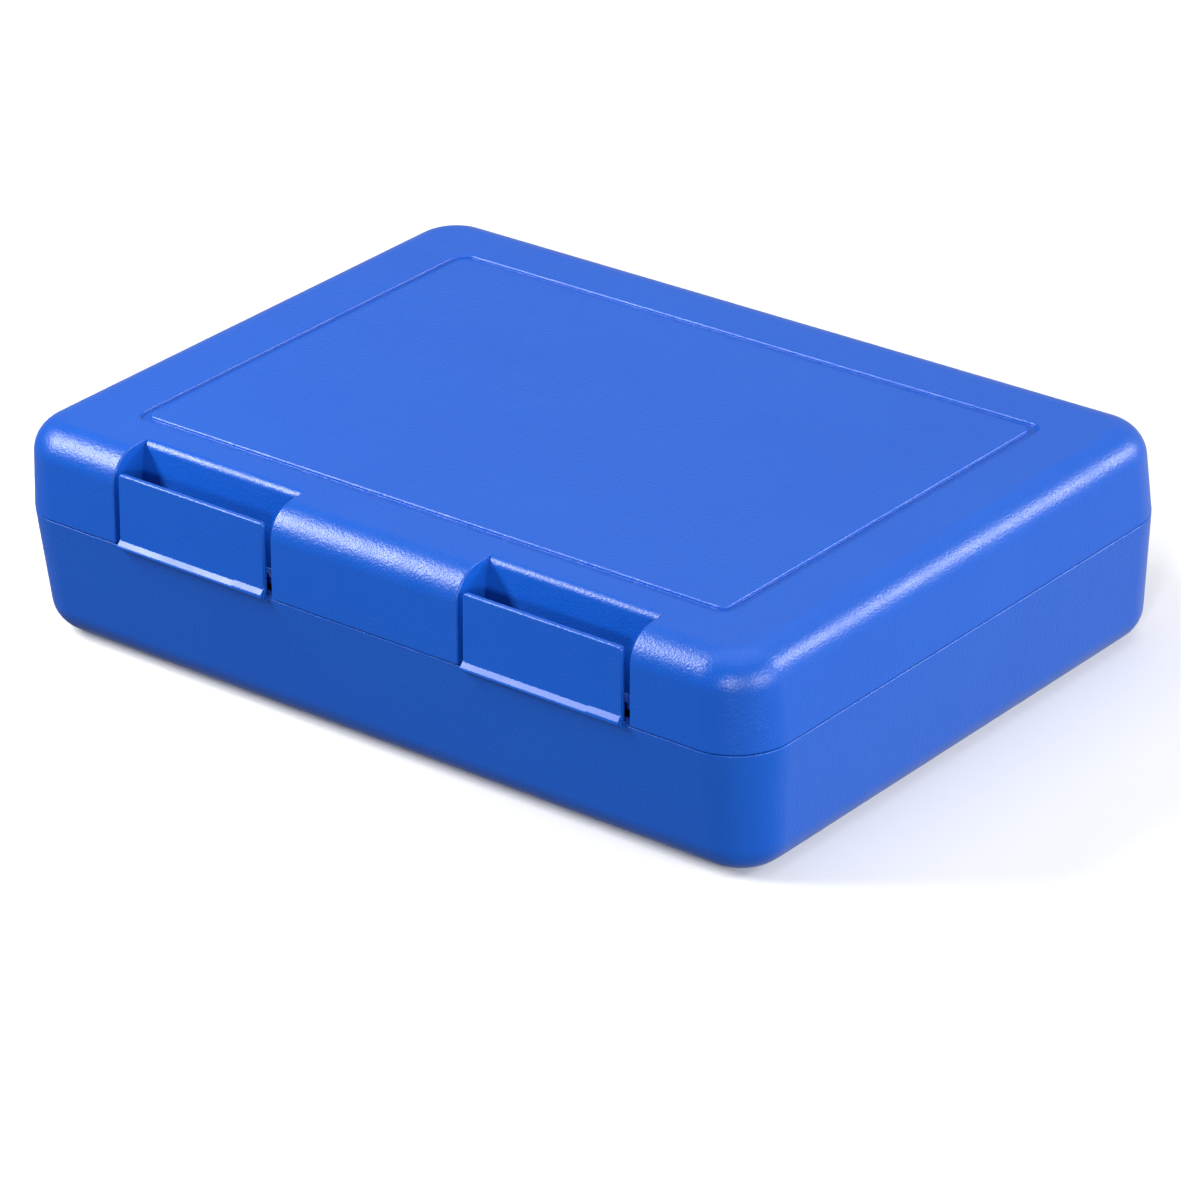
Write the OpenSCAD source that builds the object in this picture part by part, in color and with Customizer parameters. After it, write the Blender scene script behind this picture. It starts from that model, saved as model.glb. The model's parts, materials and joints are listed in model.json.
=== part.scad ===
// Hard plastic pencil case: a drafted tray and lid that meet at a parting line, joined by two
// pinned hinges at the back and held shut by two swinging latches at the front.
// X runs along the front, Y towards the back, Z up. The origin is the middle of the flat underside.

/* [Case] */
// Length along the front, at the parting line
case_length = 200; // [190:1:215]
// Depth from front to back, at the parting line
case_depth = 141; // [134:1:150]
// Height of the closed case
case_height = 48.1; // [47:0.1:52]
// Height of the parting line between tray and lid
parting_height = 28.5; // [26:0.1:29]
// Radius of the upright corners, at the parting line
corner_radius = 12.9; // [12:0.1:16]
// Radius of the rounded edge round the underside
bottom_edge_radius = 7.3; // [5:0.1:8]
// Radius of the rounded edge round the top
top_edge_radius = 7.4; // [5:0.1:8]
// Lean of the tray's walls from upright, in degrees
tray_draft = 4.5; // [3:0.1:5]
// Lean of the lid's walls from upright, in degrees
lid_draft = 3.85; // [3:0.05:5]
// Thickness of the moulded walls
wall = 1.8; // [1.6:0.1:2.2]
// Open line between the tray's rim and the lid's edge
parting_gap = 0.2; // [0.1:0.05:0.3]

/* [Top groove] */
// Length of the field inside the groove
field_length = 155.7; // [120:0.1:162]
// Depth of the field inside the groove
field_depth = 99.9; // [80:0.1:101]
// Sideways place of the field's middle
field_shift = 0.7; // [-1:0.1:1]
// Forward place of the field's middle
field_forward = 0.3; // [-0.5:0.1:0.5]
// Width of the groove
groove_width = 2; // [1:0.05:2.2]
// Depth of the groove
groove_cut = 0.7; // [0.4:0.1:1]
// Corner radius of the field
field_corner = 1.8; // [1:0.1:4]

/* [Rim lip] */
// Height of the lip that stands up from the tray inside the lid
lip_height = 2; // [1.5:0.1:3]
// Thickness of the lip
lip_thickness = 1.1; // [1:0.1:1.5]
// Sideways room between the lip and the lid
lip_room = 0.35; // [0.3:0.05:0.5]

/* [Latches] */
// Half the distance between the middles of the two latches
latch_spacing = 47.4; // [42:0.1:49]
// Sideways place of the point midway between the latches
latch_shift = 0.85; // [-1:0.05:1]
// Width of a latch
latch_width = 41; // [36:0.1:43]
// Height of a latch above the parting line
latch_height = 16.3; // [15:0.1:16.5]
// Thickness of a latch's plate
latch_plate = 1.6; // [1.4:0.1:1.8]
// Lean of a latch's face from upright, in degrees
latch_lean = 4.7; // [4:0.1:5]
// How far a latch's face stands in front of the lid, at the parting line
latch_stand_out = 0.5; // [0.4:0.05:0.6]
// How far the foot of a latch stands out from its face
latch_foot_out = 0.9; // [0.7:0.05:1]
// Radius of the bead that a latch turns on, behind its foot
bead_radius = 0.8; // [0.75:0.05:0.85]
// Diameter of the wire pin in the bead
latch_pin_diameter = 0.7; // [0.6:0.05:0.8]
// Open slot between a latch and the lid, each side
latch_slot = 1.65; // [1:0.05:2]
// Depth of the finger recess behind a latch, from the front of the case
recess_depth = 10.4; // [9:0.1:11]
// Radius of the edge between the recess and the top
recess_edge_radius = 2; // [1:0.1:2.5]
// Lean of the recess's back wall from upright, in degrees
recess_lean = 11; // [5:0.5:12]

/* [Back hinges] */
// Distance from the middle of the case to the middle of each hinge
hinge_spacing = 47.4; // [40:0.1:55]
// Width of a hinge's three knuckles together
hinge_width = 36; // [30:1:40]
// Radius of the knuckles
knuckle_radius = 2.5; // [2.3:0.1:2.6]
// Distance from the back of the case to the hinge line
hinge_set_back = 2.9; // [2.9:0.1:3.5]
// Diameter of a hinge pin
hinge_pin_diameter = 2; // [1.6:0.1:2.2]

/* [Hidden] */
$fn = 64;

case_blue = "#2A66D8";
latch_blue = "#2459C3";
pin_grey = "#B4B8BC";

half_depth = case_depth / 2;
corner_x = case_length / 2 - corner_radius;
corner_y = half_depth - corner_radius;
rim_z = parting_height - parting_gap / 2;
lid_edge_z = parting_height + parting_gap / 2;
through = 1;              // how far a cutting shape runs past what it cuts
pin_running_fit = 0.05;   // radial room of a pin in the knuckle that turns on it
pin_held_fit = 0.01;      // radial room of a pin in the knuckles that hold it
pin_end_room = 0.4;       // how far a pin's ends stay inside its knuckles

// Tray rim: a thicker band inside the wall carries the lip
band_drop = 4;
band_bite = 1;
lip_inset = wall + lip_room;
band_inset = lip_inset + lip_thickness;
lip_end_room = 0.5;       // room between the lip's ends and the lid's recess walls

// Latch and the lid's recess behind it, placed from the latch's own axis
latch_axis_inset = 0.1;   // how far the axis lies behind the front of the case
latch_axis_y = -half_depth + latch_axis_inset;
latch_face = -latch_stand_out - latch_axis_inset;
latch_corner = 0.8;       // corner radius of the plate, seen from the front
latch_edge = 0.6;         // radius along the plate's top edge
plate_start = 0.3;        // height of the plate's lower end above the axis
half_latch = latch_width / 2;
lug_width = 1.3;          // narrow bearing at the left end of a latch
knuckle_share = 0.2;      // part of the latch's width taken by the bearing at its right end
foot_top = 1.7;           // heights of the foot's slope and underside above the axis
foot_shoulder = 0.65;
foot_bottom = 0.15;
foot_step = 0.2;          // how much higher the foot's slope is over the right bearing
foot_end = 0.1;           // how far the foot's ends stand in from the plate's sides
bead_start = -half_latch + lug_width;
bead_end = half_latch - knuckle_share * latch_width;
bead_seam = 0.15;         // sideways room between a bead and its bearings
bead_room = 0.1;          // open room round a bead or a bearing
catch_top = 2;            // top of the lid's catch ledge above the parting line
catch_thickness = 1.6;
catch_front = 4.5;        // front of the catch ledge behind the latch's axis
nib_room = 0.1;           // room between the latch's nib and the ledge, both ways
nib_height = 1.6;
nib_side = 3;             // distance from a nib's end to the latch's side
rib_width = 1.2;          // stiffening ribs on the back of a latch
rib_reach = 2.2;
rib_count = 3;
recess_half = half_latch + latch_slot;
recess_back = recess_depth - latch_axis_inset;
recess_top = case_height - parting_height;

// Where the recess's leaning back wall runs into its rounded edge, and where it is at other heights
recess_touch = [
    recess_back + recess_edge_radius * (1 - cos(recess_lean)),
    recess_top - recess_edge_radius * (1 - sin(recess_lean)),
];
function recess_wall(z) = recess_touch.x - (recess_touch.y - z) * tan(recess_lean);

// Back hinge
hinge_axis_y = half_depth + hinge_set_back;
end_share = 0.28;         // part of a hinge's width taken by each of the tray's knuckles
knuckle_seam = 0.3;       // sideways room between knuckles
web_start = 0.2;          // a web starts this far from the parting line
web_bite = 1;             // how far a web runs into its wall

// ------------------------------------------------------------------ shared shapes

// Half outline of a drafted wall with one rounded edge. The open side is at height 0, where the
// wall is reach from the middle; the closed side is at height rise. Past 0 the wall runs straight on.
module wall_profile(reach, rise, draft, edge, past) {
    slope = tan(draft);
    centre = [reach - rise * slope - edge * (1 / cos(draft) - slope), rise - edge];
    touch = centre + edge * [cos(draft), sin(draft)];
    polygon([[0, -past], [reach + past * slope, -past], touch, centre, [centre.x, rise], [0, rise]]);
    translate(centre)
        intersection() {
            circle(r = edge);
            square(edge);
        }
}

// Solid with the case's plan, inset sideways, whose walls follow wall_profile
module drafted_block(inset, rise, draft, edge, past = 0) {
    reach = corner_radius - inset;
    span_x = 2 * corner_x;
    span_y = 2 * corner_y;
    corners = [[1, 1], [-1, 1], [-1, -1], [1, -1]];
    translate([-corner_x, -corner_y, -past])
        cube([span_x, span_y, rise + past]);
    for (turn = [0, 180])
        rotate([0, 0, turn]) {
            translate([corner_x, corner_y, 0])
                rotate([90, 0, 0])
                    linear_extrude(height = span_y)
                        wall_profile(reach, rise, draft, edge, past);
            translate([-corner_x, corner_y, 0])
                rotate([90, 0, 90])
                    linear_extrude(height = span_x)
                        wall_profile(reach, rise, draft, edge, past);
        }
    for (i = [0 : 3])
        translate([corners[i].x * corner_x, corners[i].y * corner_y, 0])
            rotate([0, 0, 90 * i])
                rotate_extrude(angle = 90)
                    wall_profile(reach, rise, draft, edge, past);
}

// Rectangle with round corners, centred
module round_rectangle(length, depth, radius) {
    square([length - 2 * radius, depth], center = true);
    square([length, depth - 2 * radius], center = true);
    for (sx = [-1, 1], sy = [-1, 1])
        translate([sx * (length / 2 - radius), sy * (depth / 2 - radius)])
            circle(r = radius);
}

// Upright ring with the case's plan, between two insets and two heights
module plan_ring(outer_inset, inner_inset, low, high) {
    translate([0, 0, low])
        linear_extrude(height = high - low)
            difference() {
                plan_outline(outer_inset);
                plan_outline(inner_inset);
            }
}

module plan_outline(inset) {
    round_rectangle(case_length - 2 * inset, case_depth - 2 * inset, corner_radius - inset);
}

// Child outline, drawn in Y and Z, extruded along X
module along_x(low, high) {
    translate([low, 0, 0])
        rotate([90, 0, 90])
            linear_extrude(height = high - low)
                children();
}

module rod(radius, low, high) {
    along_x(low, high)
        circle(r = radius);
}

module at_latch(side) {
    translate([latch_shift + side * latch_spacing, latch_axis_y, parting_height])
        children();
}

module at_hinge(side) {
    translate([side * hinge_spacing, hinge_axis_y, parting_height])
        children();
}

// ------------------------------------------------------------------ back hinge

// Round knuckle with a sloping web to the wall; up is 1 for the lid's knuckle and -1 for the tray's
module knuckle(low, high, up) {
    slant = knuckle_radius * cos(45);
    wall_y = -hinge_set_back - web_bite;
    rod(knuckle_radius, low, high);
    along_x(low, high)
        polygon([
            [wall_y, up * web_start],
            [0, up * web_start],
            [slant, up * slant],
            [wall_y, up * (2 * slant - wall_y)],
        ]);
}

module tray_knuckles() {
    reach = hinge_width / 2;
    knuckle(-reach, -reach + end_share * hinge_width, -1);
    knuckle(reach - end_share * hinge_width, reach, -1);
}

module lid_knuckle() {
    reach = hinge_width / 2 - end_share * hinge_width - knuckle_seam;
    knuckle(-reach, reach, 1);
}

module hinge_bore(fit) {
    rod(hinge_pin_diameter / 2 + fit, -hinge_width / 2 - through, hinge_width / 2 + through);
}

module hinge_pin() {
    color(pin_grey)
        rod(hinge_pin_diameter / 2, -hinge_width / 2 + pin_end_room, hinge_width / 2 - pin_end_room);
}

// ------------------------------------------------------------------ latch

module latch_bearings() {
    rod(bead_radius, -half_latch, bead_start);
    rod(bead_radius, bead_end, half_latch);
}

module latch_bore(fit) {
    rod(latch_pin_diameter / 2 + fit, -half_latch - through, half_latch + through);
}

module latch_pin() {
    color(pin_grey)
        rod(latch_pin_diameter / 2, -half_latch + pin_end_room, half_latch - pin_end_room);
}

// Section of the plate: Y runs through its thickness, Z up its face
module plate_section() {
    translate([0, plate_start])
        square([latch_plate, latch_height - latch_edge - plate_start]);
    translate([latch_edge, plate_start])
        square([latch_plate - 2 * latch_edge, latch_height - plate_start]);
    for (y = [latch_edge, latch_plate - latch_edge])
        translate([y, latch_height - latch_edge])
            circle(r = latch_edge);
}

// Plate leaning back with the latch's face, rounded at its two top corners
module latch_blade() {
    translate([0, latch_face, 0])
        rotate([-latch_lean, 0, 0])
            intersection() {
                along_x(-half_latch, half_latch)
                    plate_section();
                translate([0, latch_plate + through, 0])
                    rotate([90, 0, 0])
                        linear_extrude(height = latch_plate + 2 * through)
                            round_rectangle(latch_width, 2 * latch_height, latch_corner);
            }
}

// Long nib on the back of the plate, over the lid's catch ledge
module latch_nib() {
    low = catch_top + nib_room;
    tip = catch_front - nib_room;
    along_x(-half_latch + nib_side, half_latch - nib_side)
        polygon([[0, low], [tip, low], [tip, low + nib_height / 2], [0, low + 2 * nib_height]]);
}

// Foot along the bottom of the face: a slope that comes out of the face at foot_top and runs out over
// the bead and its bearings
module latch_foot(low, high, raise) {
    reach = latch_face - latch_foot_out;
    face_at_top = latch_face + foot_top * tan(latch_lean);
    slope = (foot_top - foot_shoulder) / (face_at_top - reach);
    along_x(low, high)
        polygon([
            [0, raise + foot_top - slope * face_at_top],
            [reach, raise + foot_shoulder],
            [reach, foot_bottom],
            [0, foot_bottom],
        ]);
}

// Tapered stiffening ribs on the back of the plate, above the nib
module latch_ribs() {
    low = catch_top + nib_room;
    step = (latch_width - 2 * nib_side - rib_width) / (rib_count - 1);
    for (i = [0 : rib_count - 1])
        translate([-half_latch + nib_side + i * step, 0, 0])
            along_x(0, rib_width)
                polygon([
                    [0, low],
                    [catch_front - nib_room, low],
                    [rib_reach + latch_edge, low + rib_reach],
                    [rib_reach, latch_height - rib_reach],
                    [latch_edge, latch_height - latch_plate],
                ]);
}

module latch() {
    color(latch_blue)
        difference() {
            union() {
                latch_blade();
                latch_nib();
                latch_ribs();
                latch_foot(-half_latch + foot_end, bead_end, 0);
                latch_foot(bead_end, half_latch - foot_end, foot_step);
                rod(bead_radius, bead_start + bead_seam, bead_end - bead_seam);
            }
            latch_bore(pin_running_fit);
            rod(bead_radius + bead_room, -half_latch - through, bead_start + bead_seam);
            rod(bead_radius + bead_room, bead_end - bead_seam, half_latch + through);
        }
}

// ------------------------------------------------------------------ tray

module tray_shell() {
    translate([0, 0, rim_z])
        mirror([0, 0, 1])
            difference() {
                drafted_block(0, rim_z, tray_draft, bottom_edge_radius);
                drafted_block(wall, rim_z - wall, tray_draft, bottom_edge_radius - wall, through);
            }
}

// Lip inside the lid, left out where the lid's recess walls come down
module rim_lip() {
    gap_half = recess_half + wall + lip_end_room;
    difference() {
        plan_ring(lip_inset, band_inset, rim_z - band_bite, parting_height + lip_height);
        for (side = [-1, 1])
            translate([latch_shift + side * latch_spacing - gap_half, -half_depth, rim_z])
                cube([2 * gap_half, recess_depth, lip_height + through]);
    }
}

module base_tray() {
    color(case_blue)
        difference() {
            union() {
                tray_shell();
                plan_ring(band_bite, band_inset, rim_z - band_drop, rim_z);
                rim_lip();
                for (side = [-1, 1])
                    at_hinge(side) tray_knuckles();
                for (side = [-1, 1])
                    at_latch(side) latch_bearings();
            }
            for (side = [-1, 1])
                at_hinge(side) hinge_bore(pin_held_fit);
            for (side = [-1, 1])
                at_latch(side) {
                    rod(bead_radius + bead_room, bead_start, bead_end);
                    latch_bore(pin_held_fit);
                }
        }
}

// ------------------------------------------------------------------ lid

// Solid that the recess is cut from, which leaves its leaning back, its cheeks and its catch ledge
module recess_block() {
    low = catch_top - catch_thickness;
    half = recess_half + wall;
    back = wall / cos(recess_lean);
    along_x(-half, half)
        polygon([
            [0, low],
            [recess_wall(low) + back, low],
            [recess_wall(recess_top) + back, recess_top],
            [0, recess_top],
        ]);
}

module recess_cut() {
    front = -latch_axis_inset - through;
    along_x(-recess_half, recess_half) {
        polygon([
            [front, catch_top],
            [recess_wall(catch_top), catch_top],
            recess_touch,
            [recess_touch.x, recess_top + through],
            [front, recess_top + through],
        ]);
        translate([front, -through])
            square([catch_front - front, recess_top]);
        difference() {
            translate([recess_back, recess_touch.y])
                square([recess_edge_radius, recess_top + through - recess_touch.y]);
            translate([recess_back + recess_edge_radius, recess_top - recess_edge_radius])
                circle(r = recess_edge_radius);
        }
    }
}

module top_groove() {
    translate([field_shift, -field_forward, case_height - groove_cut])
        linear_extrude(height = groove_cut + through)
            difference() {
                round_rectangle(
                    field_length + 2 * groove_width, field_depth + 2 * groove_width,
                    field_corner + groove_width
                );
                round_rectangle(field_length, field_depth, field_corner);
            }
}

module lid_shell() {
    rise = case_height - lid_edge_z;
    color(case_blue)
        difference() {
            union() {
                difference() {
                    translate([0, 0, lid_edge_z])
                        drafted_block(0, rise, lid_draft, top_edge_radius);
                    difference() {
                        translate([0, 0, lid_edge_z])
                            drafted_block(wall, rise - wall, lid_draft, top_edge_radius - wall, through);
                        for (side = [-1, 1])
                            at_latch(side) recess_block();
                    }
                }
                for (side = [-1, 1])
                    at_hinge(side) lid_knuckle();
            }
            for (side = [-1, 1])
                at_latch(side) recess_cut();
            for (side = [-1, 1])
                at_hinge(side) hinge_bore(pin_running_fit);
            top_groove();
        }
}

base_tray();
lid_shell();
at_latch(-1) latch();  // left_latch
at_latch(1) latch();  // right_latch
at_latch(-1) latch_pin();  // left_latch_pin
at_latch(1) latch_pin();  // right_latch_pin
at_hinge(-1) hinge_pin();  // left_hinge_pin
at_hinge(1) hinge_pin();  // right_hinge_pin
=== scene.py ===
import json
import math

import bmesh
import bpy
from mathutils import Matrix, Vector


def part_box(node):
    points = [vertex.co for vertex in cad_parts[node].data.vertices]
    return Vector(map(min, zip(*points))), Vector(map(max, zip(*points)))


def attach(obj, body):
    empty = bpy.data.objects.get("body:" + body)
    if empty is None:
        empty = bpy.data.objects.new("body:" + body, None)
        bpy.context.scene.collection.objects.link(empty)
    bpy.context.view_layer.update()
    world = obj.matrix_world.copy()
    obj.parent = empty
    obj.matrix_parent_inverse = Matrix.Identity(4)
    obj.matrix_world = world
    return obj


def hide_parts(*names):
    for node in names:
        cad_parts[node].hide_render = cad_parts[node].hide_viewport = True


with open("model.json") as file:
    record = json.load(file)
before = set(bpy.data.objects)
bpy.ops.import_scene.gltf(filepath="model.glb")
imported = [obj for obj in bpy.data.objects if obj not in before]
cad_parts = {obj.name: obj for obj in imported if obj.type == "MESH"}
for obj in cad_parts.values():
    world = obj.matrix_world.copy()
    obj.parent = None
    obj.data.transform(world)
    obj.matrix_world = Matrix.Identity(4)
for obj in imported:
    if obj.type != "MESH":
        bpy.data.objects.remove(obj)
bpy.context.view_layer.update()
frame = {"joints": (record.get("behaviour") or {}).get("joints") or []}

# Hard plastic pencil case. Each moulding is lofted or swept in millimetres in the frame's own axes,
# cut and joined, given small moulded radii along its edges, and scaled to metres at the end.

MM = 0.001


# ------------------------------------------------------------------ sizes, from the frame

def box_mm(node):
    low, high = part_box(node)
    return low / MM, high / MM


PIVOTS = {joint["name"]: Vector(joint["pos_m"]) / MM for joint in frame["joints"]}
LID_LOW, LID_HIGH = box_mm("lid_shell")
LATCH_LOW, LATCH_HIGH = box_mm("right_latch")
HINGE_PIN_LOW, HINGE_PIN_HIGH = box_mm("right_hinge_pin")
LATCH_PIN_LOW, LATCH_PIN_HIGH = box_mm("right_latch_pin")

HALF_LENGTH = LID_HIGH.x
HALF_DEPTH = -LID_LOW.y
HEIGHT = LID_HIGH.z
HINGE_AXIS = PIVOTS["lid_hinge"]
LATCH_AXIS = PIVOTS["right_latch_hinge"]
LATCH_X = {-1: PIVOTS["left_latch_hinge"].x, 1: LATCH_AXIS.x}
PARTING = HINGE_AXIS.z
HALF_LATCH = (LATCH_HIGH.x - LATCH_LOW.x) / 2
HINGE_X = (HINGE_PIN_LOW.x + HINGE_PIN_HIGH.x) / 2
HINGE_PIN_RADIUS = (HINGE_PIN_HIGH.z - HINGE_PIN_LOW.z) / 2
LATCH_PIN_RADIUS = (LATCH_PIN_HIGH.z - LATCH_PIN_LOW.z) / 2
PIN_HELD_FIT = 0.01         # room round a pin where it is held
PIN_RUNNING_FIT = 0.05      # room round a pin where a part turns on it
PIN_END_ROOM = 0.4          # how far a pin stops short of its bore's end

# Shells
CORNER = 12.9
BOTTOM_EDGE = 7.3
TOP_EDGE = 7.4
TRAY_DRAFT = math.radians(4.5)
LID_DRAFT = math.radians(3.85)
WALL = 1.8
PARTING_GAP = 0.2
RIM_Z = PARTING - PARTING_GAP / 2
LID_EDGE_Z = PARTING + PARTING_GAP / 2
LIP_HEIGHT = 2.0
LIP_INSET = 2.15
LIP_GAP_ROOM = 0.5          # how much wider the lip's gap is than the lid's parts behind a latch
LIP_GAP_DEPTH = 6.0
BAND_INSET = 3.25           # thicker band inside the rim, which carries the lip
BAND_DROP = 4.0
BAND_SLOPE = 0.6

# Groove round the top field
FIELD_HALF = Vector((77.85, 49.95))
FIELD_SHIFT = Vector((0.7, -0.3, 0.0))
FIELD_CORNER = 1.8
GROOVE_WIDTH = 2.0
GROOVE_CUT = 0.7
GROOVE_FILLET = 0.1
GROOVE_EDGE_STEPS = 6
GROOVE_FILLET_STEPS = 3
FIELD_EDGE = 0.5
RIM_EDGE = 0.55

# Latches and the recesses behind them, from the latch's axis
BEAD = 0.8
BEAD_ROOM = 0.1
NARROW_BEARING = 1.3
WIDE_BEARING = 0.2          # as a share of the latch's width
BEAD_START = -HALF_LATCH + NARROW_BEARING
BEAD_END = HALF_LATCH - WIDE_BEARING * 2 * HALF_LATCH
BEAD_SEAM = 0.15
LATCH_FACE = -0.6
LATCH_LEAN = math.radians(4.7)
LATCH_PLATE = 1.6
LATCH_HEIGHT = 16.3
PLATE_START = 0.2
LATCH_SLOT = 1.65
RECESS_HALF = HALF_LATCH + LATCH_SLOT
RECESS_BACK = 10.3
RECESS_EDGE = 2.0
RECESS_LEAN = math.radians(11)
RECESS_TOP = HEIGHT - PARTING
CATCH_TOP = 2.0
CATCH_THICKNESS = 1.6
CATCH_FRONT = 4.5
CATCH_ROOM = 0.1
LINER_FRONT = 0.6
NIB_TIP = CATCH_FRONT - CATCH_ROOM
NIB_LOW = CATCH_TOP + CATCH_ROOM
NIB_HEIGHT = 1.6
NIB_SIDE = 3.0
RIB_WIDTH = 1.2
RIB_REACH = 2.2
BACK_START = 0.3            # where nib and ribs start, buried in the plate
FOOT_OUT = 0.9
FOOT_REACH = LATCH_FACE - FOOT_OUT
FOOT_TOP = 1.7
FOOT_BOTTOM = 0.15
FOOT_NOSE = 0.75
FOOT_NOSE_RISE = 0.15
FOOT_STEP = 0.2             # how much higher the foot is over the wide bearing
FOOT_END = 0.1

# Back hinge, from its axis
KNUCKLE = 2.5
SET_BACK = HINGE_AXIS.y - HALF_DEPTH
HINGE_HALF = (HINGE_PIN_HIGH.x - HINGE_PIN_LOW.x) / 2 + PIN_END_ROOM
KNUCKLE_SHARE = 0.28        # of the hinge's width, for each of the tray's two knuckles
KNUCKLE_END = KNUCKLE_SHARE * 2 * HINGE_HALF
KNUCKLE_SEAM = 0.3
WEB_START = 0.2
WEB_BITE = 1.0

# Edge radii
SMALL_EDGE = 0.2
TRAY_RIM_EDGE = 0.35
CHEEK_EDGE = 0.4
LATCH_EDGE = 0.12
BEARING_EDGE = 0.06
BEARING_REACH = BEAD + 0.6  # the finest radii are used this near to a latch's axis

# Mesh
PAST = 1.0                  # how far a cutting shape runs past what it cuts
STRAIGHT_STEP = 30.0        # spacing of points along straight sides
CORNER_STEPS = 20
EDGE_STEPS = 14
ROUND_STEPS = 40
EDGE_ROW = 1.2              # height of the row of points near a wall's open side
WELD = 0.004                # points nearer than this become one before edges are rounded
BEVEL_ANGLE = math.radians(34)
SHARP_ANGLE = math.radians(40)


# ------------------------------------------------------------------ mesh building

def plan_of(half_x, half_y, radius):
    """Centre and outward direction of each point round a round-cornered rectangle."""
    cx, cy = half_x - radius, half_y - radius
    corners = [(cx, cy), (-cx, cy), (-cx, -cy), (cx, -cy)]
    points = []
    for i, corner in enumerate(corners):
        here, there = Vector(corner), Vector(corners[(i + 1) % 4])
        for k in range(CORNER_STEPS + 1):
            angle = math.radians(90 * (i + k / CORNER_STEPS))
            points.append((here, Vector((math.cos(angle), math.sin(angle)))))
        outward = points[-1][1]
        count = max(1, round((there - here).length / STRAIGHT_STEP))
        for k in range(1, count):
            points.append((here.lerp(there, k / count), outward))
    return points


CASE_PLAN = plan_of(HALF_LENGTH, HALF_DEPTH, CORNER)


def arc(centre, radius, start, end, steps):
    """Points round part of a circle, from the angle start to the angle end in degrees."""
    angles = [math.radians(start + (end - start) * k / steps) for k in range(steps + 1)]
    return [(centre[0] + radius * math.cos(a), centre[1] + radius * math.sin(a)) for a in angles]


def wall_profile(inset, rise, draft, edge, past=0.0):
    """Points from the closed side's flat middle, over its round edge, down to the open side at 0.

    A row near the open side keeps the cuts made there out of the tall faces above it.
    """
    reach = CORNER - inset
    slope = math.tan(draft)
    centre = (reach - rise * slope - edge * (1 / math.cos(draft) - slope), rise - edge)
    rounding = arc(centre, edge, 90, math.degrees(draft), EDGE_STEPS)
    return rounding + [(reach - EDGE_ROW * slope, EDGE_ROW), (reach + past * slope, -past)]


def finish_mesh(bm, name):
    bmesh.ops.recalc_face_normals(bm, faces=bm.faces)
    mesh = bpy.data.meshes.new(name)
    bm.to_mesh(mesh)
    bm.free()
    piece = bpy.data.objects.new(name, mesh)
    bpy.context.scene.collection.objects.link(piece)
    return piece


def loft(name, plan, profile, ring=False):
    """Solid whose sections follow plan, with (reach, height) pairs in profile; ring closes it on itself."""
    bm = bmesh.new()
    rows = []
    for reach, z in profile:
        rows.append([bm.verts.new((*(centre + outward * reach), z)) for centre, outward in plan])
    pairs = list(zip(rows, rows[1:])) + ([(rows[-1], rows[0])] if ring else [])
    for upper, lower in pairs:
        for i in range(len(plan)):
            j = (i + 1) % len(plan)
            bm.faces.new((upper[i], upper[j], lower[j], lower[i]))
    if not ring:
        bm.faces.new(rows[0])
        bm.faces.new(reversed(rows[-1]))
    return finish_mesh(bm, name)


def prism(name, outline, low, high):
    """Outline in Y and Z, swept along X from low to high."""
    bm = bmesh.new()
    ends = [[bm.verts.new((x, y, z)) for y, z in outline] for x in (low, high)]
    for i in range(len(outline)):
        j = (i + 1) % len(outline)
        bm.faces.new((ends[0][i], ends[0][j], ends[1][j], ends[1][i]))
    for end in ends:
        bm.faces.new(end)
    return finish_mesh(bm, name)


def rod(name, radius, low, high):
    return prism(name, arc((0, 0), radius, 0, 360, ROUND_STEPS)[:-1], low, high)


def block(name, low, high):
    outline = [(low[1], low[2]), (high[1], low[2]), (high[1], high[2]), (low[1], high[2])]
    return prism(name, outline, low[0], high[0])


def moved(piece, place):
    piece.data.transform(Matrix.Translation(Vector(place)))
    return piece


def apply_modifiers(piece):
    """Gives piece the mesh that its modifiers make, and takes them off."""
    depsgraph = bpy.context.evaluated_depsgraph_get()
    shape = piece.evaluated_get(depsgraph)
    mesh = bpy.data.meshes.new_from_object(shape, preserve_all_data_layers=True, depsgraph=depsgraph)
    old = piece.data
    piece.modifiers.clear()
    piece.data = mesh
    bpy.data.meshes.remove(old)


def combine(piece, operation, tools):
    """Joins, cuts or intersects piece with each of the tools, which are used up."""
    for tool in tools:
        modifier = piece.modifiers.new("combine", "BOOLEAN")
        modifier.operation = operation
        modifier.solver = "EXACT"
        modifier.object = tool
        apply_modifiers(piece)
        bpy.data.objects.remove(tool)
    return piece


def soften(piece, radius_at):
    """Rounds the sharp edges of piece; radius_at gives the radius at an edge's middle, from 0 to 1."""
    bm = bmesh.new()
    bm.from_mesh(piece.data)
    bmesh.ops.remove_doubles(bm, verts=bm.verts, dist=WELD)
    bmesh.ops.dissolve_degenerate(bm, edges=bm.edges, dist=WELD)
    layer = bm.edges.layers.float.new("bevel_weight_edge")
    for edge in bm.edges:
        if len(edge.link_faces) == 2 and edge.calc_face_angle() > BEVEL_ANGLE:
            middle = (edge.verts[0].co + edge.verts[1].co) / 2
            edge[layer] = radius_at(middle)
    bm.to_mesh(piece.data)
    bm.free()
    bevel = piece.modifiers.new("edges", "BEVEL")
    bevel.limit_method = "WEIGHT"
    bevel.width = 1.0           # so that an edge's weight is its radius
    bevel.segments = 3
    bevel.profile = 0.5
    bevel.use_clamp_overlap = False
    bevel.miter_outer = "MITER_SHARP"
    apply_modifiers(piece)
    return piece


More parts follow.
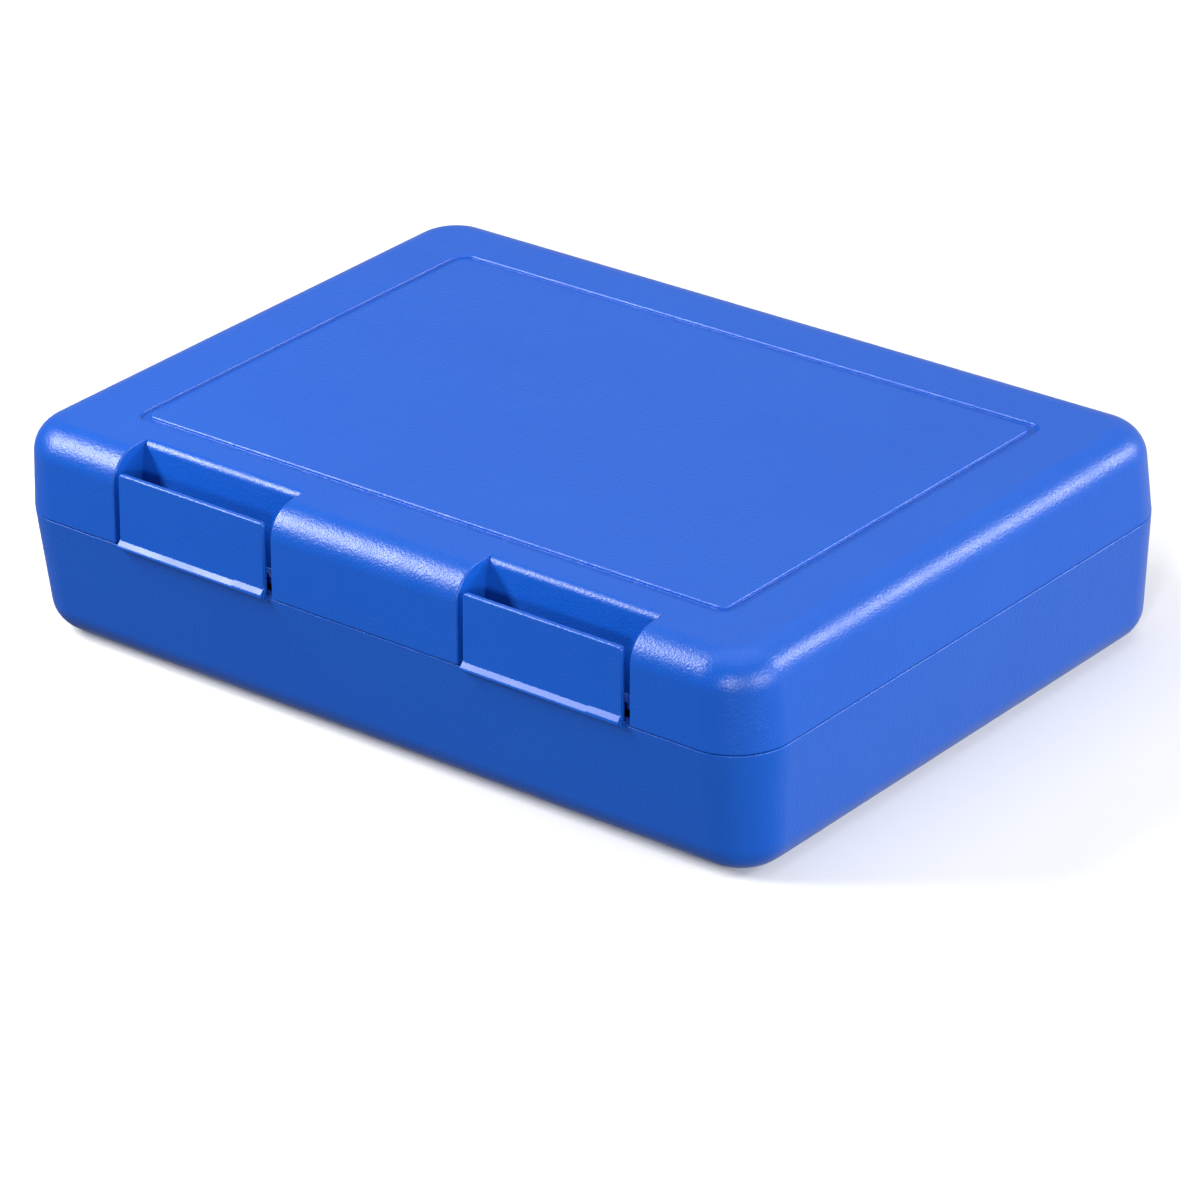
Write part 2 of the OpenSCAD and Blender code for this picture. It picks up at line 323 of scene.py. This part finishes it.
def settle(piece, node, body, materials):
    """Scales a finished piece to metres and hands it to the frame in place of its CAD node."""
    bm = bmesh.new()
    bm.from_mesh(piece.data)
    for face in bm.faces:
        face.smooth = True
    for edge in bm.edges:
        edge.smooth = len(edge.link_faces) == 2 and edge.calc_face_angle() < SHARP_ANGLE
    bm.to_mesh(piece.data)
    bm.free()
    piece.data.transform(Matrix.Scale(MM, 4))
    normals = piece.modifiers.new("normals", "WEIGHTED_NORMAL")
    normals.mode = "FACE_AREA"
    normals.weight = 50
    normals.keep_sharp = True
    for material in materials:
        piece.data.materials.append(material)
    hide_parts(node)
    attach(piece, body)
    return piece


# ------------------------------------------------------------------ materials

class Nodes:
    """Short calls for building a node material."""

    def __init__(self, name):
        self.material = bpy.data.materials.new(name)
        self.material.use_nodes = True
        self.tree = self.material.node_tree
        self.shader = self.tree.nodes["Principled BSDF"]
        self.place = self.add("ShaderNodeTexCoord").outputs["Object"]

    def add(self, kind, **settings):
        node = self.tree.nodes.new(kind)
        for key, value in settings.items():
            setattr(node, key, value)
        return node

    def link(self, output, target):
        self.tree.links.new(output, target)

    def noise(self, scale, detail=2.0, roughness=0.5, stretch=(1, 1, 1)):
        mapping = self.add("ShaderNodeMapping")
        mapping.inputs["Scale"].default_value = stretch
        self.link(self.place, mapping.inputs["Vector"])
        node = self.add("ShaderNodeTexNoise")
        node.inputs["Scale"].default_value = scale
        node.inputs["Detail"].default_value = detail
        node.inputs["Roughness"].default_value = roughness
        self.link(mapping.outputs["Vector"], node.inputs["Vector"])
        return node.outputs["Fac"]

    def ramp(self, value, low, high, out_low, out_high):
        node = self.add("ShaderNodeMapRange")
        numbers = {"From Min": low, "From Max": high, "To Min": out_low, "To Max": out_high}
        for key, number in numbers.items():
            node.inputs[key].default_value = number
        self.link(value, node.inputs["Value"])
        return node.outputs["Result"]

    def mix(self, factor, first, second):
        node = self.add("ShaderNodeMix", data_type="RGBA")
        node.inputs["A"].default_value = (*first, 1)
        node.inputs["B"].default_value = (*second, 1)
        self.link(factor, node.inputs["Factor"])
        return node.outputs["Result"]

    def bump(self, height, strength, distance, under=None):
        node = self.add("ShaderNodeBump")
        node.inputs["Strength"].default_value = strength
        node.inputs["Distance"].default_value = distance
        self.link(height, node.inputs["Height"])
        if under is not None:
            self.link(under, node.inputs["Normal"])
        return node.outputs["Normal"]


def moulded_plastic(name, dark, light, grain_depth, rough_low, rough_high, specular):
    """Satin polypropylene: spark-eroded grain, faint flow marks and slightly uneven gloss."""
    nodes = Nodes(name)
    shader = nodes.shader
    shader.inputs["IOR"].default_value = 1.49
    shader.inputs["Specular IOR Level"].default_value = specular
    flow = nodes.noise(22.0, detail=3.0, stretch=(1.0, 1.6, 1.0))
    tint = nodes.mix(nodes.ramp(flow, 0.3, 0.7, 0.0, 1.0), dark, light)
    nodes.link(tint, shader.inputs["Base Color"])
    grain = nodes.noise(1700.0, detail=2.0, roughness=0.6)
    gloss = nodes.noise(160.0, detail=3.0)
    nodes.link(nodes.ramp(gloss, 0.3, 0.7, rough_low, rough_high), shader.inputs["Roughness"])
    sink = nodes.bump(nodes.noise(30.0, detail=1.0), 0.15, 0.0006)
    nodes.link(nodes.bump(grain, 1.0, grain_depth, under=sink), shader.inputs["Normal"])
    return nodes.material


def drawn_steel(name):
    nodes = Nodes(name)
    shader = nodes.shader
    shader.inputs["Metallic"].default_value = 1.0
    streaks = nodes.noise(900.0, detail=3.0, stretch=(0.08, 1, 1))
    nodes.link(nodes.mix(streaks, (0.42, 0.43, 0.44), (0.62, 0.63, 0.64)), shader.inputs["Base Color"])
    nodes.link(nodes.ramp(streaks, 0.2, 0.8, 0.22, 0.42), shader.inputs["Roughness"])
    nodes.link(nodes.bump(streaks, 0.5, 0.00001), shader.inputs["Normal"])
    return nodes.material


BLUE_DARK = (0.0030, 0.083, 0.480)
BLUE_LIGHT = (0.0036, 0.089, 0.495)
CASE_BLUE = moulded_plastic("case_blue", BLUE_DARK, BLUE_LIGHT, 0.00010, 0.32, 0.38, 0.5)
FOOT_BLUE = moulded_plastic("foot_blue", BLUE_DARK, BLUE_LIGHT, 0.000004, 0.33, 0.40, 0.45)
STEEL = drawn_steel("drawn_steel")


# ------------------------------------------------------------------ back hinge

def knuckle(name, low, high, up):
    """Barrel and sloping web in one outline; up is 1 for the lid's knuckle and -1 for the tray's."""
    wall_y = -SET_BACK - WEB_BITE
    slant = KNUCKLE * math.cos(math.radians(45))
    meet = math.degrees(math.asin(WEB_START / KNUCKLE))
    around = arc((0, 0), KNUCKLE, 45, -180 - meet, ROUND_STEPS)
    outline = around + [(wall_y, WEB_START), (wall_y, 2 * slant - wall_y)]
    return prism(name, [(y, up * z) for y, z in outline], low, high)


def hinge_places(side):
    return (side * HINGE_X, HINGE_AXIS.y, HINGE_AXIS.z)


def latch_places(side):
    return (LATCH_X[side], LATCH_AXIS.y, LATCH_AXIS.z)


# ------------------------------------------------------------------ tray

def make_tray():
    outer = wall_profile(0, RIM_Z, TRAY_DRAFT, BOTTOM_EDGE)
    inner = wall_profile(WALL, RIM_Z - WALL, TRAY_DRAFT, BOTTOM_EDGE - WALL)[:-1]
    band_reach = CORNER - WALL - BAND_DROP * math.tan(TRAY_DRAFT)
    profile = [(reach, RIM_Z - z) for reach, z in outer]
    profile += [
        (CORNER - LIP_INSET, RIM_Z),
        (CORNER - LIP_INSET, PARTING + LIP_HEIGHT),
        (CORNER - BAND_INSET, PARTING + LIP_HEIGHT),
        (CORNER - BAND_INSET, RIM_Z - BAND_DROP),
        (band_reach, RIM_Z - BAND_DROP - BAND_SLOPE),
    ]
    profile += [(reach, RIM_Z - z) for reach, z in reversed(inner)]
    tray = loft("tray", CASE_PLAN, profile)
    gap_half = RECESS_HALF + WALL + LIP_GAP_ROOM
    for side in (-1, 1):
        knuckles = [
            moved(knuckle("knuckle", *span, -1), hinge_places(side))
            for span in ((-HINGE_HALF, -HINGE_HALF + KNUCKLE_END), (HINGE_HALF - KNUCKLE_END, HINGE_HALF))
        ]
        combine(tray, "UNION", knuckles)
        x = LATCH_X[side]
        lip_gap = block(
            "lip_gap",
            (x - gap_half, -HALF_DEPTH + WALL, RIM_Z),
            (x + gap_half, -HALF_DEPTH + WALL + LIP_GAP_DEPTH, RIM_Z + LIP_HEIGHT + PAST),
        )
        seat = moved(rod("seat", BEAD + BEAD_ROOM, BEAD_START, BEAD_END), latch_places(side))
        combine(tray, "DIFFERENCE", [lip_gap, seat])
        bearings = [
            moved(rod("bearing", BEAD, *span), latch_places(side))
            for span in ((-HALF_LATCH, BEAD_START), (BEAD_END, HALF_LATCH))
        ]
        combine(tray, "UNION", bearings)
        hinge_bore = rod("bore", HINGE_PIN_RADIUS + PIN_HELD_FIT, -HINGE_HALF - PAST, HINGE_HALF + PAST)
        latch_bore = rod("bore", LATCH_PIN_RADIUS + PIN_HELD_FIT, -HALF_LATCH - PAST, HALF_LATCH + PAST)
        moved(hinge_bore, hinge_places(side))
        moved(latch_bore, latch_places(side))
        combine(tray, "DIFFERENCE", [hinge_bore, latch_bore])
    return tray


# ------------------------------------------------------------------ lid

def recess_wall(z):
    """Y of the recess's leaning back wall at height z, both from the latch's axis."""
    touch_y = RECESS_BACK + RECESS_EDGE * (1 - math.cos(RECESS_LEAN))
    touch_z = RECESS_TOP - RECESS_EDGE * (1 - math.sin(RECESS_LEAN))
    return touch_y - (touch_z - z) * math.tan(RECESS_LEAN)


def recess_outline():
    """Y and Z of the space behind a latch, from the latch's axis, with the round edge at its top."""
    front = -PAST - 0.1
    centre = (RECESS_BACK + RECESS_EDGE, RECESS_TOP - RECESS_EDGE)
    return [
        (front, -PAST),
        (CATCH_FRONT, -PAST),
        (CATCH_FRONT, CATCH_TOP),
        (recess_wall(CATCH_TOP), CATCH_TOP),
        *arc(centre, RECESS_EDGE, 180 - math.degrees(RECESS_LEAN), 90, EDGE_STEPS),
        (RECESS_BACK + RECESS_EDGE, RECESS_TOP + PAST),
        (front, RECESS_TOP + PAST),
    ]


def make_liner():
    """Block inside the lid that leaves a recess its back, cheeks and catch ledge, once cut."""
    low = CATCH_TOP - CATCH_THICKNESS
    back = WALL / math.cos(RECESS_LEAN)
    outline = [
        (LINER_FRONT, low),
        (recess_wall(low) + back, low),
        (recess_wall(RECESS_TOP) + back, RECESS_TOP),
        (LINER_FRONT, RECESS_TOP),
    ]
    return prism("liner", outline, -RECESS_HALF - WALL, RECESS_HALF + WALL)


def make_groove():
    """Ring that cuts the groove, with round edges at its top and fillets at its bottom."""
    field_side, rim_side = FIELD_CORNER, FIELD_CORNER + GROOVE_WIDTH
    fillet_z = HEIGHT - GROOVE_CUT + GROOVE_FILLET
    section = [(field_side - FIELD_EDGE, HEIGHT + PAST)]
    section += arc((field_side - FIELD_EDGE, HEIGHT - FIELD_EDGE), FIELD_EDGE, 90, 0, GROOVE_EDGE_STEPS)
    section += arc((field_side + GROOVE_FILLET, fillet_z), GROOVE_FILLET, 180, 270, GROOVE_FILLET_STEPS)
    section += arc((rim_side - GROOVE_FILLET, fillet_z), GROOVE_FILLET, -90, 0, GROOVE_FILLET_STEPS)
    section += arc((rim_side + RIM_EDGE, HEIGHT - RIM_EDGE), RIM_EDGE, 180, 90, GROOVE_EDGE_STEPS)
    section.append((rim_side + RIM_EDGE, HEIGHT + PAST))
    return moved(loft("groove", plan_of(*FIELD_HALF, FIELD_CORNER), section, ring=True), FIELD_SHIFT)


def make_lid():
    rise = HEIGHT - LID_EDGE_Z
    outer = wall_profile(0, rise, LID_DRAFT, TOP_EDGE)
    inner = wall_profile(WALL, rise - WALL, LID_DRAFT, TOP_EDGE - WALL)
    skin = 0.5
    within = wall_profile(skin, rise - skin, LID_DRAFT, TOP_EDGE - skin)
    lid = loft("lid", CASE_PLAN, [(reach, LID_EDGE_Z + z) for reach, z in outer + list(reversed(inner))])
    for side in (-1, 1):
        inside = loft("inside", CASE_PLAN, [(reach, LID_EDGE_Z + z) for reach, z in within])
        liner = combine(moved(make_liner(), latch_places(side)), "INTERSECT", [inside])
        combine(lid, "UNION", [liner])
        recess = moved(prism("recess", recess_outline(), -RECESS_HALF, RECESS_HALF), latch_places(side))
        combine(lid, "DIFFERENCE", [recess])
        reach = HINGE_HALF - KNUCKLE_END - KNUCKLE_SEAM
        combine(lid, "UNION", [moved(knuckle("knuckle", -reach, reach, 1), hinge_places(side))])
        bore = rod("bore", HINGE_PIN_RADIUS + PIN_RUNNING_FIT, -HINGE_HALF, HINGE_HALF)
        combine(lid, "DIFFERENCE", [moved(bore, hinge_places(side))])
    return combine(lid, "DIFFERENCE", [make_groove()])


# ------------------------------------------------------------------ latch

def make_foot(low, high, raise_by):
    """Slope along the bottom of the face that ends in a round nose, over the bead and its bearings."""
    slope = math.radians(45)
    centre = (FOOT_REACH + FOOT_NOSE, FOOT_BOTTOM + FOOT_NOSE_RISE + raise_by)
    rounding = arc(centre, FOOT_NOSE, 90 + math.degrees(slope), 180, 6)
    inside = (0, rounding[0][1] - rounding[0][0] * math.tan(slope))
    return prism("foot", [inside] + rounding + [(FOOT_REACH, FOOT_BOTTOM), (0, FOOT_BOTTOM)], low, high)


def make_blade(name):
    """Flat plate with round edges, stood up with its lean and cut off level above the axis."""
    corner = 0.8
    front, back = 0.5, 0.8
    steps = 5
    buried = 0.3 * LATCH_HEIGHT
    plan = plan_of(HALF_LATCH, (LATCH_HEIGHT + buried) / 2, corner)
    profile = arc((corner - front, front), front, -90, 0, steps)
    profile += arc((corner - back, LATCH_PLATE - back), back, 0, 90, steps)
    blade = moved(loft(name, plan, profile), (0, (LATCH_HEIGHT - buried) / 2, 0))
    stand = Matrix.Translation((0, LATCH_FACE, 0)) @ Matrix.Rotation(-LATCH_LEAN, 4, "X")
    blade.data.transform(stand @ Matrix.Rotation(math.radians(90), 4, "X") @ Matrix.Scale(-1, 4, (0, 0, 1)))
    blade.data.flip_normals()
    reach = 6.0
    below = block(
        "below",
        (-HALF_LATCH - PAST, -reach, -2 * LATCH_HEIGHT),
        (HALF_LATCH + PAST, reach, PLATE_START),
    )
    return combine(blade, "DIFFERENCE", [below])


def make_ribs(half):
    """Three upright ribs on the back of a latch, spread over half to each side of its middle."""
    set_in = 0.01
    outline = [
        (BACK_START, NIB_LOW + 0.2),
        (NIB_TIP - 0.1, NIB_LOW + 0.2),
        (RIB_REACH + 0.6, NIB_LOW + RIB_REACH),
        (RIB_REACH, LATCH_HEIGHT - RIB_REACH),
        (0.9, LATCH_HEIGHT - LATCH_PLATE),
    ]
    step = (2 * half - RIB_WIDTH) / 2
    lows = [-half + i * step for i in range(3)]
    return [prism("rib", outline, low + set_in, low + RIB_WIDTH - set_in) for low in lows]


def make_latch(name):
    """One latch about its own axis: leaning blade, bead, nib, stiffening ribs and foot."""
    blade = make_blade(name)
    nib_half = HALF_LATCH - NIB_SIDE
    nib = prism("nib", [
        (BACK_START, NIB_LOW),
        (NIB_TIP, NIB_LOW),
        (NIB_TIP, NIB_LOW + NIB_HEIGHT / 2),
        (BACK_START, NIB_LOW + 2 * NIB_HEIGHT),
    ], -nib_half, nib_half)
    bead = rod("bead", BEAD, BEAD_START + BEAD_SEAM, BEAD_END - BEAD_SEAM)
    combine(blade, "UNION", [nib, bead])
    combine(blade, "UNION", make_ribs(nib_half))
    combine(blade, "UNION", [
        make_foot(-HALF_LATCH + FOOT_END, BEAD_END, 0),
        make_foot(BEAD_END, HALF_LATCH - FOOT_END, FOOT_STEP),
    ])
    cuts = [
        rod("bore", LATCH_PIN_RADIUS + PIN_RUNNING_FIT, -HALF_LATCH - PAST, HALF_LATCH + PAST),
        rod("notch", BEAD + BEAD_ROOM, -HALF_LATCH - PAST, BEAD_START + BEAD_SEAM),
        rod("notch", BEAD + BEAD_ROOM, BEAD_END - BEAD_SEAM, HALF_LATCH + PAST),
    ]
    return combine(blade, "DIFFERENCE", cuts)


# ------------------------------------------------------------------ pins

def make_pin(name, radius, half):
    """Drawn wire with crowned ends, turned round its own axis and reaching half to each side."""
    bm = bmesh.new()
    crown = 0.3 * radius
    profile = []
    for tilt in map(math.radians, range(15, 91, 15)):
        profile.append((radius * math.sin(tilt), crown * (1 - math.cos(tilt)) - half))
    profile += [(r, -x) for r, x in reversed(profile)]
    rows = []
    for r, x in profile:
        angles = [2 * math.pi * k / ROUND_STEPS for k in range(ROUND_STEPS)]
        rows.append([bm.verts.new((x, r * math.cos(a), r * math.sin(a))) for a in angles])
    for first, second in zip(rows, rows[1:]):
        for i in range(ROUND_STEPS):
            j = (i + 1) % ROUND_STEPS
            bm.faces.new((first[i], first[j], second[j], second[i]))
    for row in (rows[0], rows[-1]):
        bm.faces.new(row)
    return finish_mesh(bm, name)


# ------------------------------------------------------------------ edge radii

def lid_edge_radius(at):
    """Cheek edges are broader, and run out to nothing before they reach the recess's back wall."""
    nearest = LATCH_X[1] if at.x > 0 else LATCH_X[-1]
    from_cheek = abs(abs(at.x - nearest) - RECESS_HALF)
    behind = at.y - LATCH_AXIS.y
    above = at.z - LATCH_AXIS.z
    if from_cheek < 0.3 and behind < RECESS_BACK + RECESS_EDGE + 1 and above > CATCH_TOP + 1:
        if behind > recess_wall(above) - CHEEK_EDGE:
            return 0.0
        return max(0.0, min(CHEEK_EDGE, 0.3 * (RECESS_BACK - 0.5 - behind)))
    return SMALL_EDGE


def tray_edge_radius(at):
    """Finest at the latch bearings and broadest along the rim."""
    if math.hypot(at.y - LATCH_AXIS.y, at.z - LATCH_AXIS.z) < BEARING_REACH:
        return BEARING_EDGE
    return TRAY_RIM_EDGE if abs(at.z - RIM_Z) < 0.1 else SMALL_EDGE


def latch_edge_radius(at):
    """Finest near the axis, and none at the step in the foot."""
    if at.y < LATCH_FACE and abs(at.x - BEAD_END) < 0.3:
        return 0.0
    return BEARING_EDGE if math.hypot(at.y, at.z) < BEARING_REACH else LATCH_EDGE


def gloss_foot(latch):
    """Gives the second material to the smooth slope of a latch's foot."""
    for polygon in latch.data.polygons:
        at = polygon.center
        if at.y < LATCH_FACE and at.z < FOOT_TOP + FOOT_STEP + 0.1 and polygon.normal.y < 0:
            polygon.material_index = 1
    return latch


# ------------------------------------------------------------------ build

settle(soften(make_tray(), tray_edge_radius), "base_tray", "root", [CASE_BLUE])
settle(soften(make_lid(), lid_edge_radius), "lid_shell", "lid", [CASE_BLUE])
for side, word in ((-1, "left"), (1, "right")):
    latch = gloss_foot(soften(make_latch(word + "_latch_blade"), latch_edge_radius))
    moved(latch, latch_places(side))
    settle(latch, word + "_latch", word + "_latch", [CASE_BLUE, FOOT_BLUE])
    wire = make_pin(word + "_latch_wire", LATCH_PIN_RADIUS, HALF_LATCH - PIN_END_ROOM)
    settle(moved(wire, latch_places(side)), word + "_latch_pin", "root", [STEEL])
    wire = make_pin(word + "_hinge_wire", HINGE_PIN_RADIUS, HINGE_HALF - PIN_END_ROOM)
    settle(moved(wire, hinge_places(side)), word + "_hinge_pin", "root", [STEEL])


# ------------------------------------------------------------------ floor, lights and camera

GLOW = 0.46                 # of the studio behind the case
TABLE_GLOW = 0.2            # of the pale table below it
AIM = Vector((-0.0002, -0.0001, 0.0085))
AZIMUTH, ELEVATION, ROLL = map(math.radians, (41.58, 26.58, -2.94))
DISTANCE = 1.207
LENS, SENSOR = 174.95, 36


def make_floor():
    """Pale floor that shows to the camera and takes shadows, but sends no light back to the case."""
    material = bpy.data.materials.new("pale_floor")
    material.use_nodes = True
    shader = material.node_tree.nodes["Principled BSDF"]
    shader.inputs["Base Color"].default_value = (0.9, 0.9, 0.9, 1)
    shader.inputs["Roughness"].default_value = 0.9
    mesh = bpy.data.meshes.new("floor")
    reach = 6.0
    corners = [(-reach, -reach, 0), (reach, -reach, 0), (reach, reach, 0), (-reach, reach, 0)]
    mesh.from_pydata(corners, [], [(0, 1, 2, 3)])
    floor = bpy.data.objects.new("floor", mesh)
    mesh.materials.append(material)
    bpy.context.scene.collection.objects.link(floor)
    floor.visible_diffuse = False
    floor.visible_glossy = False


def soft_light(name, aim, towards, distance, along, size, power):
    """Rectangular softbox that faces the point aim; along is the direction of its longer side."""
    data = bpy.data.lights.new(name, "AREA")
    data.shape = "RECTANGLE"
    data.size, data.size_y = size
    data.energy = power
    light = bpy.data.objects.new(name, data)
    back = Vector(towards).normalized()
    across = Vector(along).cross(back).normalized()
    turn = Matrix((across, back.cross(across), back)).transposed()
    light.matrix_world = Matrix.Translation(Vector(aim) + back * distance) @ turn.to_4x4()
    bpy.context.scene.collection.objects.link(light)


def make_world():
    """Broad glow from behind and from the table, and plain white where the camera sees past the floor."""
    world = bpy.data.worlds.new("studio")
    world.use_nodes = True
    tree = world.node_tree
    place = tree.nodes.new("ShaderNodeTexCoord")
    split = tree.nodes.new("ShaderNodeSeparateXYZ")
    tree.links.new(place.outputs["Generated"], split.inputs["Vector"])
    glow = tree.nodes.new("ShaderNodeMapRange")
    glow.interpolation_type = "SMOOTHSTEP"
    for key, number in (("From Min", 0.1), ("From Max", 0.8), ("To Min", 0.0), ("To Max", GLOW)):
        glow.inputs[key].default_value = number
    tree.links.new(split.outputs["Y"], glow.inputs["Value"])
    table = tree.nodes.new("ShaderNodeMapRange")
    for key, number in (("From Min", 0.0), ("From Max", -0.15), ("To Min", 0.0), ("To Max", TABLE_GLOW)):
        table.inputs[key].default_value = number
    tree.links.new(split.outputs["Z"], table.inputs["Value"])
    glow_sum = tree.nodes.new("ShaderNodeMath")
    glow_sum.operation = "ADD"
    tree.links.new(glow.outputs["Result"], glow_sum.inputs[0])
    tree.links.new(table.outputs["Result"], glow_sum.inputs[1])
    path = tree.nodes.new("ShaderNodeLightPath")
    strength = tree.nodes.new("ShaderNodeMix")
    tree.links.new(path.outputs["Is Camera Ray"], strength.inputs["Factor"])
    tree.links.new(glow_sum.outputs["Value"], strength.inputs["A"])
    strength.inputs["B"].default_value = 1.0
    tree.links.new(strength.outputs["Result"], tree.nodes["Background"].inputs["Strength"])
    tree.nodes["Background"].inputs["Color"].default_value = (1, 1, 1, 1)
    bpy.context.scene.world = world


def make_lights():
    """Key from the front left, rim from the back right, and softer lights beside, in front and above."""
    key_side, rim_side = (-0.594, -0.447, 0.669), (0.63, 0.67, 0.40)
    soft_light("key", (-0.13, -0.06, 0.04), key_side, 0.75, (0, -0.9, -0.436), (0.15, 0.45), 9.3)
    soft_light("rim", (0.09, 0.06, 0.04), rim_side, 1.0, (0.547, 0, -0.838), (0.25, 0.25), 6.3)
    soft_light("side", (0, 0, 0.02), (0.95, -0.1, 0.25), 1.05, (0, 1, 0), (0.4, 0.7), 7.6)
    soft_light("front", (0, 0, 0.02), (0.52, -0.82, 0.29), 1.05, (1, 0.63, 0), (0.12, 0.12), 4.5)
    soft_light("sky", (0, 0, 0.04), (0, 0.1, 1), 1.1, (1, 0, 0), (1.2, 1.2), 5.4)


def make_camera():
    """Camera on the front right, a little above the case and turned slightly about its own view."""
    level = math.cos(ELEVATION)
    back = Vector((math.sin(AZIMUTH) * level, -math.cos(AZIMUTH) * level, math.sin(ELEVATION)))
    data = bpy.data.cameras.new("camera")
    data.sensor_width = SENSOR
    data.lens = LENS
    data.clip_start, data.clip_end = 0.05, 20
    camera = bpy.data.objects.new("camera", data)
    camera.rotation_mode = "QUATERNION"
    camera.rotation_quaternion = back.to_track_quat("Z", "Y") @ Matrix.Rotation(ROLL, 3, "Z").to_quaternion()
    bpy.context.scene.collection.objects.link(camera)
    camera.location = AIM + back * DISTANCE
    bpy.context.scene.camera = camera


make_floor()
make_world()
make_lights()
make_camera()
bpy.context.scene.view_settings.view_transform = "Standard"
